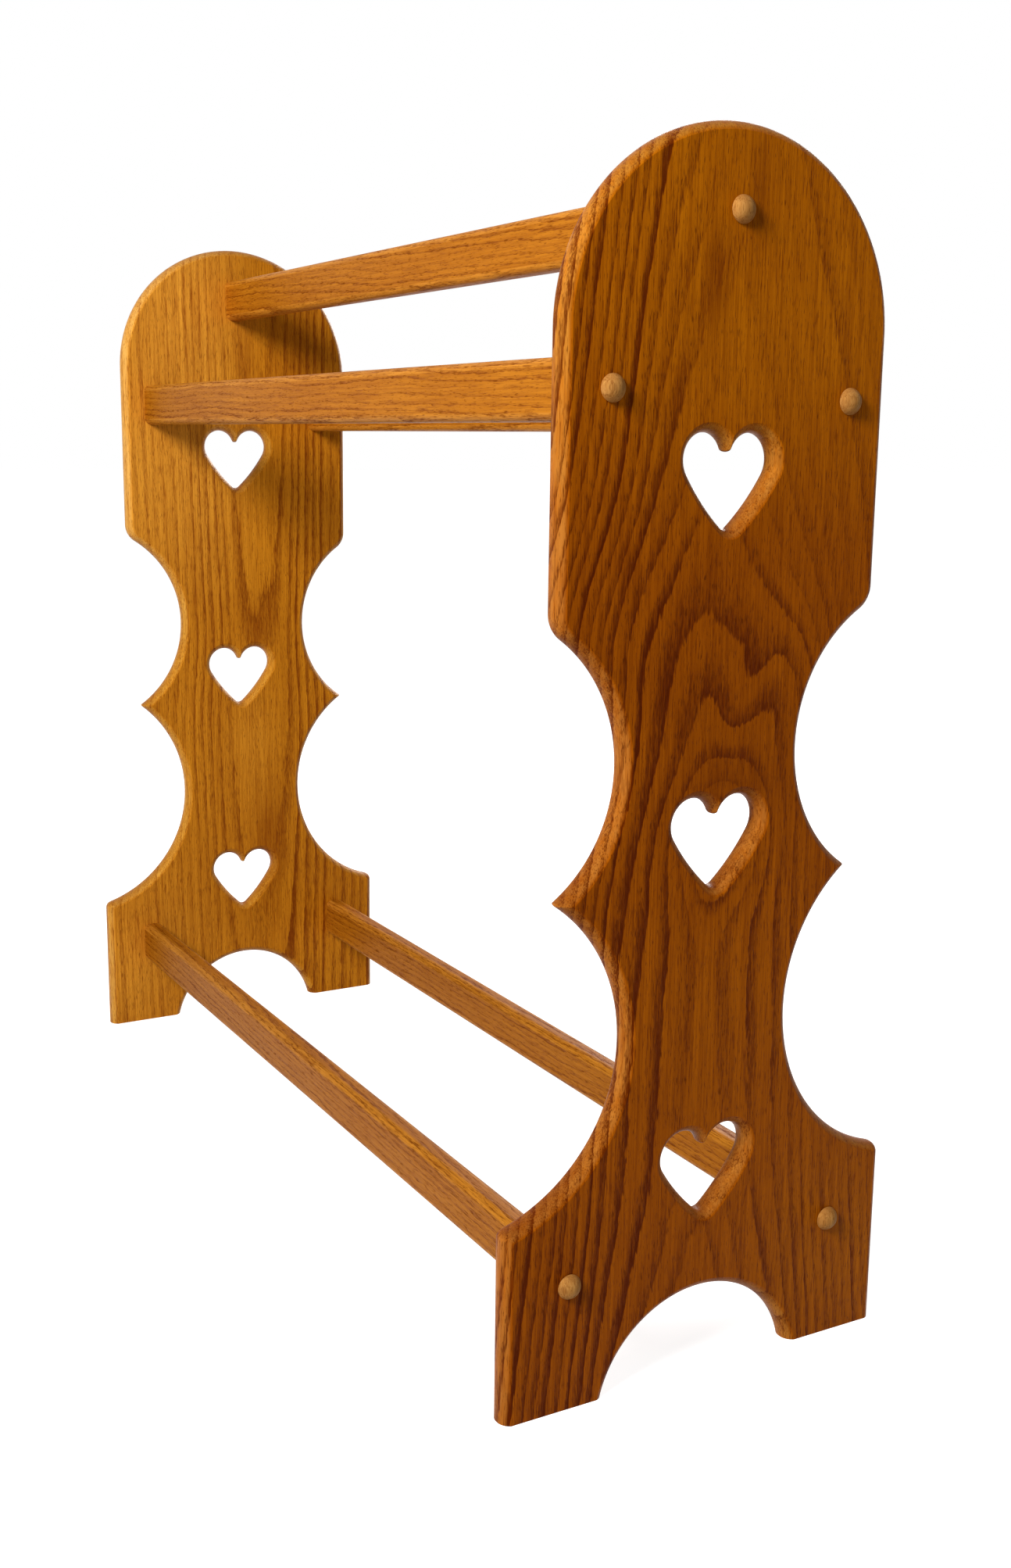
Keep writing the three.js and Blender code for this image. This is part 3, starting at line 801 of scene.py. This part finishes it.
def oak(name, kind, figure, ring, start, light, mid, dark, pore, pale, seed,
        tint=WHITE, band_strength=1.0, waver=3.5, shine=0.22):
    """Stained ring-porous oak under satin varnish, figured through the solid board.

    Ring is the width of a growth ring in mm, and start the share of a ring by which all are shifted.
    Light and mid are the wood between the dark bands, and pale is the colour of rounded edges,
    worn lighter and partly painted light where light and sheen catch them. The tint multiplies
    the colour as far as the figure says, and is painted light: a face or a rail painted lighter
    or darker as more or less light falls on it.
    """
    material = bpy.data.materials.new(name)
    n = Nodes(material)
    across, depth, along = board_axes(n, kind)
    place = n.add("ShaderNodeCombineXYZ", {"X": across, "Y": depth, "Z": along}).outputs[0]

    field, local_strength, smudge_and_shadow, painted_light_amount = figure(n, across, depth, along, place)
    field = n.total(
        field,
        n.swing(place, WAVER_SIZE, waver, 3.0, seed),
        n.swing(place, RAGGED_SIZE, RAGGED_AMOUNT, 2.0, seed + 4),
    )
    band, mottle = growth_rings(n, place, field, ring, start, seed)
    band = n.times(band, local_strength, band_strength)

    vessels = n.noise(place, VESSEL_SIZE, 2.0, 0.5, seed + 11)
    vessels = n.ramp(n.total(vessels, n.times(band, 0.2)), 0.59, 0.68)
    dashes = n.noise(place, DASH_SIZE, 1.5, 0.5, seed + 17)
    dashes = n.ramp(n.total(dashes, n.times(band, 0.22)), 0.60, 0.72)
    fibres = n.noise(place, FIBRE_SIZE, 3.0, 0.6, seed + 23)
    streaks = n.ramp(n.noise(place, STREAK_SIZE, 2.0, 0.6, seed + 27), 0.44, 0.64)
    cloud = n.noise(place, CLOUD_SIZE, 2.0, 0.5, seed + 29)
    # Pale rounded edges: partly wear, partly painted light where light and sheen catch the round-overs.
    worn_and_lit_edges = n.ramp(n.noise(place, WORN_AND_LIT_EDGE_SIZE, 3.0, 0.6, seed + 31), 0.3, 0.65, 0.35, 0.85)
    edge = n.add("ShaderNodeAttribute", attribute_name="rounded_edge").outputs["Fac"]
    streak_depth = n.total(STREAK_DEPTH, n.times(band, STREAK_DEPTH_IN_BAND))
    band_depth = n.ramp(edge, 0.0, 0.5, 1.0, BAND_DEPTH_ON_EDGE)

    colour = n.mix(n.ramp(fibres, 0.3, 0.7), light, mid)
    colour = n.mix(n.ramp(cloud, 0.35, 0.68, 0.0, CLOUD_DEPTH), colour, mid)
    # Pale edges, worn and partly painted light.
    colour = n.mix(n.times(worn_and_lit_edges, n.ramp(edge, 0.0, 0.3)), colour, pale)
    colour = n.mix(n.times(streaks, streak_depth), colour, dark)
    colour = n.mix(n.times(band, band_depth), colour, dark)
    # Dark smudges, and a painted shadow where the figure puts one.
    colour = n.mix(n.times(smudge_and_shadow, n.ramp(mottle, 0.45, 0.9, 0.5, 1.0)), colour, dark)
    colour = n.mix(n.times(dashes, DASH_DEPTH), colour, dark)
    colour = n.mix(n.times(vessels, VESSEL_DEPTH), colour, pore)
    # Painted light: the tint lightens the colour where the figure puts it.
    colour = n.mix(painted_light_amount, colour, tint, "MULTIPLY")

    normal = n.add("ShaderNodeTexCoord").outputs["Normal"]
    facing = n.add("ShaderNodeSeparateXYZ", {"Vector": normal}).outputs["X" if kind == "rail" else "Z"]
    end_grain = n.ramp(n.math("ABSOLUTE", facing), 0.3, 1.0, 0.0, END_GRAIN_DEPTH)
    colour = n.mix(end_grain, colour, dark)

    height = n.total(
        n.times(vessels, -0.7),
        n.times(dashes, -0.4),
        n.times(band, -0.3),
        n.times(fibres, 0.25),
    )
    relief = {"Height": height, "Strength": GRAIN_RELIEF, "Distance": GRAIN_RELIEF_METRES}
    bump = n.add("ShaderNodeBump", relief)
    shader = n.add("ShaderNodeBsdfPrincipled", {
        "Base Color": colour,
        "Roughness": n.total(VARNISH_ROUGHNESS, n.times(vessels, 0.2), n.times(cloud, 0.08)),
        "Specular IOR Level": shine,
        "Specular Tint": VARNISH_TINT,
        "Normal": bump.outputs[0],
    })
    n.add("ShaderNodeOutputMaterial", {"Surface": shader.outputs[0]})
    return material


def bright_steel():
    """Zinc-bright screws with a thread in the rail, fine brush lines and dull patches."""
    material = bpy.data.materials.new("bright_steel")
    n = Nodes(material)
    place = n.place_in_mm()
    x = n.add("ShaderNodeSeparateXYZ", {"Vector": place}).outputs["X"]
    rail_end = RAIL_LENGTH / 2
    from_middle = n.math("ABSOLUTE", x)
    in_rail = n.ramp(from_middle, rail_end - THREAD_FADE_START, rail_end - THREAD_FADE_END, 1.0, 0.0)
    turns = n.math("FRACT", n.math("DIVIDE", x, THREAD_PITCH))
    ridge = n.math("ABSOLUTE", n.total(turns, -0.5))
    brushed = n.noise(place, (0.25, 1.5, 1.5), 2.0, 0.5, 51.0)
    patches = n.noise(place, (3, 3, 3), 3.0, 0.55, 57.0)
    colour = n.mix(n.ramp(patches, 0.4, 0.65), STEEL_BRIGHT, STEEL_DULL)
    # Painted shade: the thread's grooves are painted darker.
    colour = n.mix(n.times(in_rail, ridge, 0.8), colour, STEEL_IN_THREAD)
    height = n.total(n.times(ridge, in_rail, -1.0), n.times(brushed, 0.12))
    relief = {"Height": height, "Strength": STEEL_RELIEF, "Distance": STEEL_RELIEF_METRES}
    bump = n.add("ShaderNodeBump", relief)
    shader = n.add("ShaderNodeBsdfPrincipled", {
        "Base Color": colour,
        "Metallic": 1.0,
        "Roughness": n.total(STEEL_ROUGHNESS, n.times(patches, 0.2), n.times(brushed, 0.08)),
        "Normal": bump.outputs[0],
    })
    n.add("ShaderNodeOutputMaterial", {"Surface": shader.outputs[0]})
    return material


# Camera, light and surroundings


def add_camera():
    """The camera stands where the photograph was taken from."""
    data = bpy.data.cameras.new("camera")
    data.sensor_width = SENSOR_WIDTH
    data.lens = CAMERA_LENS
    camera = bpy.data.objects.new("camera", data)
    camera.location = Vector(CAMERA_PLACE) * MM
    camera.rotation_euler = [math.radians(angle) for angle in CAMERA_DEGREES]
    bpy.context.scene.collection.objects.link(camera)
    bpy.context.scene.camera = camera


def add_area_light(name, place, size, power):
    """A soft square light turned to the middle of the rack. The camera doesn't see the light itself."""
    data = bpy.data.lights.new(name, "AREA")
    data.shape = "SQUARE"
    data.size = size
    data.energy = power
    light = bpy.data.objects.new(name, data)
    light.location = place
    way = Vector(LIGHT_TARGET) - Vector(place)
    light.rotation_euler = way.to_track_quat("-Z", "Y").to_euler()
    light.visible_camera = False
    bpy.context.scene.collection.objects.link(light)


def add_world():
    """A plain pale light all round, in front of a backdrop that is seen as white."""
    world = bpy.data.worlds.new("studio")
    bpy.context.scene.world = world
    n = Nodes(world)
    lamp = n.add("ShaderNodeBackground", {"Color": WHITE, "Strength": WORLD_LIGHT})
    backdrop = n.add("ShaderNodeBackground", {"Color": WHITE, "Strength": 1.0})
    surface = n.blend(n.looked_at(), lamp.outputs[0], backdrop.outputs[0])
    n.add("ShaderNodeOutputWorld", {"Surface": surface})


def add_floor():
    """A pale floor that is seen as white, apart from the rack's soft shadow.

    Its own glow is weaker near the rack, so that the shadow shows there.
    """
    mesh = bpy.data.meshes.new("floor")
    corners = [(x * FLOOR_HALF, y * FLOOR_HALF, 0) for x, y in ((-1, -1), (1, -1), (1, 1), (-1, 1))]
    mesh.from_pydata(corners, [], [(0, 1, 2, 3)])
    floor = bpy.data.objects.new("floor", mesh)
    bpy.context.scene.collection.objects.link(floor)
    material = bpy.data.materials.new("floor_white")
    n = Nodes(material)
    away = n.add("ShaderNodeVectorMath", operation="LENGTH")
    n.join(away.inputs[0], n.add("ShaderNodeTexCoord").outputs["Object"])
    glow_strength = n.ramp(away.outputs["Value"], *FLOOR_GLOW_REACH, *FLOOR_GLOW)
    plain = n.add("ShaderNodeBsdfDiffuse", {"Color": FLOOR_GREY})
    glow = n.add("ShaderNodeEmission", {"Color": WHITE, "Strength": glow_strength})
    white = n.add("ShaderNodeAddShader")
    n.join(white.inputs[0], plain.outputs[0])
    n.join(white.inputs[1], glow.outputs[0])
    surface = n.blend(n.looked_at(), plain.outputs[0], white.outputs[0])
    n.add("ShaderNodeOutputMaterial", {"Surface": surface})
    mesh.materials.append(material)


# The pieces, with their looks


def finish_piece(piece, node, material):
    piece.data.materials.append(material)
    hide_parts(node)
    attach(piece, "root")


panel_right_oak = oak(
    "panel_right_oak",
    "panel_right",
    right_panel_figure,
    ring=11,
    start=-0.35,
    light=(0.42, 0.100, 0.0013, 1),
    mid=(0.31, 0.067, 0.0007, 1),
    dark=(0.12, 0.015, 0.0004, 1),
    pore=(0.075, 0.009, 0.0004, 1),
    pale=(0.43, 0.15, 0.022, 1),
    seed=2.0,
    # The tint is painted light: a lighter, yellower face where the light falls, with a little painted
    # sheen in its blue.
    tint=(1.32, 1.6, 1.3, 1),
    shine=0.08,
)
panel_left_oak = oak(
    "panel_left_oak",
    "panel_left",
    left_panel_figure,
    ring=11.5,
    start=0.63,
    waver=5.5,
    light=(0.62, 0.225, 0.010, 1),
    mid=(0.48, 0.158, 0.006, 1),
    dark=(0.23, 0.047, 0.0015, 1),
    pore=(0.15, 0.027, 0.001, 1),
    pale=(0.62, 0.28, 0.03, 1),
    seed=5.0,
    # The tint is painted light: a lighter, yellower face where the light falls, and its strong blue is
    # painted sheen.
    tint=(1.32, 1.56, 3.5, 1),
)
button_oak = oak(
    "button_oak",
    "panel_right",
    straight_figure(0.02, 4, 9.0),
    ring=5,
    start=0.3,
    light=(0.50, 0.245, 0.065, 1),
    mid=(0.42, 0.185, 0.042, 1),
    dark=(0.28, 0.10, 0.018, 1),
    pore=(0.19, 0.06, 0.009, 1),
    pale=(0.50, 0.245, 0.065, 1),
    seed=8.0,
    band_strength=0.45,
    shine=0.08,
)
steel = bright_steel()

for side, turn, panel_oak in (("right", 0.0, panel_right_oak), ("left", math.pi, panel_left_oak)):
    panel = end_panel(f"oak_panel_{side}", turn)
    finish_piece(panel, f"end_panel_{side}", panel_oak)
    outer_x = OUTER_FACE_X if turn == 0 else -OUTER_FACE_X
    for rail_name, (y, z) in RAIL_PLACES.items():
        plug = button(f"plug_{side}_{rail_name}", turn, (outer_x, y, z))
        finish_piece(plug, f"button_{side}_{rail_name}", button_oak)
        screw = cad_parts[f"screw_{side}_{rail_name}"]
        screw.material_slots[0].material = steel

# Slope of the grain of each rail, and how much its oak is painted lighter or darker: painted light,
# upper rails lit more and lower ones less, from one oak
RAIL_LOOKS = {
    "top": (0.035, 1.14),
    "front_upper": (0.012, 1.06),
    "rear_upper": (-0.02, 1.1),
    "front_lower": (0.03, 0.93),
    "rear_lower": (-0.015, 1.0),
}
for number, (rail_name, (slope, painted_light_level)) in enumerate(RAIL_LOOKS.items()):
    rail_oak = oak(
        f"rail_{rail_name}_oak",
        "rail",
        straight_figure(slope, 13, 3.0 * number),
        ring=4.2,
        start=0.3,
        light=(0.45, 0.155, 0.008, 1),
        mid=(0.36, 0.112, 0.004, 1),
        dark=(0.22, 0.055, 0.002, 1),
        pore=(0.13, 0.024, 0.001, 1),
        pale=(0.55, 0.21, 0.02, 1),
        seed=10.0 + 3.0 * number,
        # Painted light: each rail's oak is made lighter or darker as a whole.
        tint=(painted_light_level, painted_light_level, painted_light_level, 1),
        band_strength=0.9,
        waver=6,
        shine=0.05,
    )
    piece = rail(f"oak_rail_{rail_name}", RAIL_PLACES[rail_name])
    finish_piece(piece, f"rail_{rail_name}", rail_oak)

add_camera()
add_world()
add_floor()
add_area_light("key", KEY_LIGHT_PLACE, KEY_LIGHT_SIZE, KEY_LIGHT_POWER)
add_area_light("back", BACK_LIGHT_PLACE, BACK_LIGHT_SIZE, BACK_LIGHT_POWER)

bpy.context.scene.view_settings.view_transform = "Standard"
